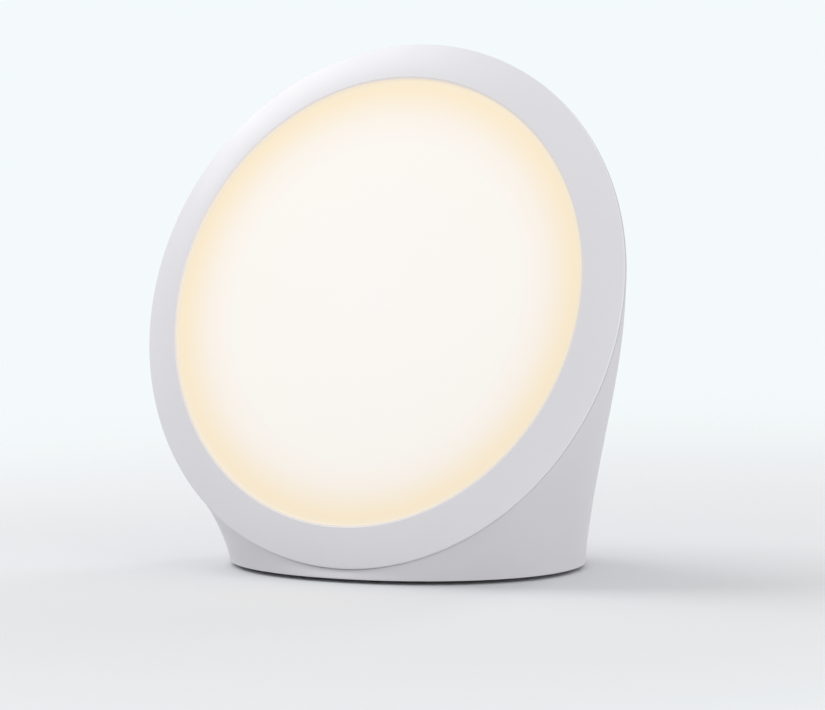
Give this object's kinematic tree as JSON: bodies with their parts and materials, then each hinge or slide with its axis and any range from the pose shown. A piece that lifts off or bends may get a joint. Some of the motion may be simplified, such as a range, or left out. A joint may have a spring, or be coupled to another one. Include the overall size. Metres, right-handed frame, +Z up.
{
  "type": "sunrise alarm clock",
  "caption": "Bedside light clock: a round leaning lit face in a sloping bezel on a flared oval foot, with keys, speaker and power inlet at the back.",
  "frame": {"origin": "middle of the overall box at the table plane, which is the middle of the oval foot", "axes": "+Z up, the lit face looks along -Y and up, +X to the right seen from the front"},
  "size_m": [0.2, 0.1, 0.1926],
  "materials": {
    "housing_plastic": "fine satin moulded plastic, cool pearl white",
    "bezel_plastic": "smooth satin moulded plastic, cool pearl white",
    "opal_diffuser": "frosted opal plastic, lit from behind",
    "tray_plastic": "bright white reflector plastic",
    "screw_steel": "zinc plated",
    "lamp_board": "white solder mask",
    "led_white": "clear lens over phosphor",
    "led_amber": "amber lens",
    "circuit_board": "green solder mask",
    "display_plastic": "dark grey display block",
    "display_digit": "lit display bar",
    "panel_plastic": "fine satin moulded plastic",
    "key_plastic": "satin moulded plastic",
    "black_plastic": "black moulded plastic",
    "capacitor_sleeve": "shrink sleeve",
    "contact_brass": "plated contact",
    "speaker_steel": "pressed frame",
    "speaker_paper": "black paper cone",
    "speaker_ferrite": "ferrite magnet",
    "base_plastic": "fine textured moulded plastic",
    "foot_rubber": "soft grey rubber",
    "cell_steel": "nickel plated cell"
  },
  "bodies": {
    "housing": {"rear_shell": "housing_plastic", "front_bezel": "bezel_plastic", "diffuser": "opal_diffuser", "light_tray": "tray_plastic", "tray_screws": "screw_steel", "led_board": "lamp_board", "white_leds": "led_white", "amber_leds": "led_amber", "display_board": "circuit_board", "display_spacers": "tray_plastic", "display_module": "display_plastic", "display_digits": "display_digit", "rear_panel": "panel_plastic", "panel_screws": "screw_steel", "key_switches": "black_plastic", "main_board": "circuit_board", "board_screws": "screw_steel", "board_chips": "black_plastic", "capacitors": "capacitor_sleeve", "dc_jack": "black_plastic", "jack_pin": "contact_brass", "speaker_grille": "panel_plastic", "speaker_frame": "speaker_steel", "speaker_cone": "speaker_paper", "speaker_magnet": "speaker_ferrite", "snooze_board": "circuit_board", "snooze_switch": "black_plastic", "snooze_screws": "screw_steel", "base_plate": "base_plastic", "base_screws": "screw_steel", "rubber_feet": "foot_rubber", "coin_cell": "cell_steel", "battery_contact": "contact_brass"},
    "alarm_key": {"alarm_key": "key_plastic"},
    "clock_key": {"clock_key": "key_plastic"},
    "light_key": {"light_key": "key_plastic"},
    "sound_key": {"sound_key": "key_plastic"},
    "minus_key": {"minus_key": "key_plastic"},
    "plus_key": {"plus_key": "key_plastic"},
    "snooze_key": {"snooze_key": "key_plastic"},
    "battery_cover": {"battery_cover": "base_plastic"}
  },
  "joints": [
    {"name": "alarm_press", "type": "slide", "parent": "housing", "child": "alarm_key", "axis": [0, -0.9988, -0.0486], "range_m": [0, 0.0008], "stiffness_N_per_m": 900, "springref_m": -0.0003},
    {"name": "clock_press", "type": "slide", "parent": "housing", "child": "clock_key", "axis": [0, -0.9988, -0.0486], "range_m": [0, 0.0008], "stiffness_N_per_m": 900, "springref_m": -0.0003},
    {"name": "light_press", "type": "slide", "parent": "housing", "child": "light_key", "axis": [0, -0.9988, -0.0486], "range_m": [0, 0.0008], "stiffness_N_per_m": 900, "springref_m": -0.0003},
    {"name": "sound_press", "type": "slide", "parent": "housing", "child": "sound_key", "axis": [0, -0.9988, -0.0486], "range_m": [0, 0.0008], "stiffness_N_per_m": 900, "springref_m": -0.0003},
    {"name": "minus_press", "type": "slide", "parent": "housing", "child": "minus_key", "axis": [0, -0.9988, -0.0486], "range_m": [0, 0.0008], "stiffness_N_per_m": 900, "springref_m": -0.0003},
    {"name": "plus_press", "type": "slide", "parent": "housing", "child": "plus_key", "axis": [0, -0.9988, -0.0486], "range_m": [0, 0.0008], "stiffness_N_per_m": 900, "springref_m": -0.0003},
    {"name": "snooze_press", "type": "slide", "parent": "housing", "child": "snooze_key", "axis": [0, -0.9752, -0.2213], "range_m": [0, 0.001], "stiffness_N_per_m": 900, "springref_m": -0.0003},
    {"name": "battery_cover_twist", "type": "hinge", "parent": "housing", "child": "battery_cover", "pos_m": [0, -0.02, 0.003], "axis": [0, 0, 1], "range_deg": [0, 45]}
  ]
}
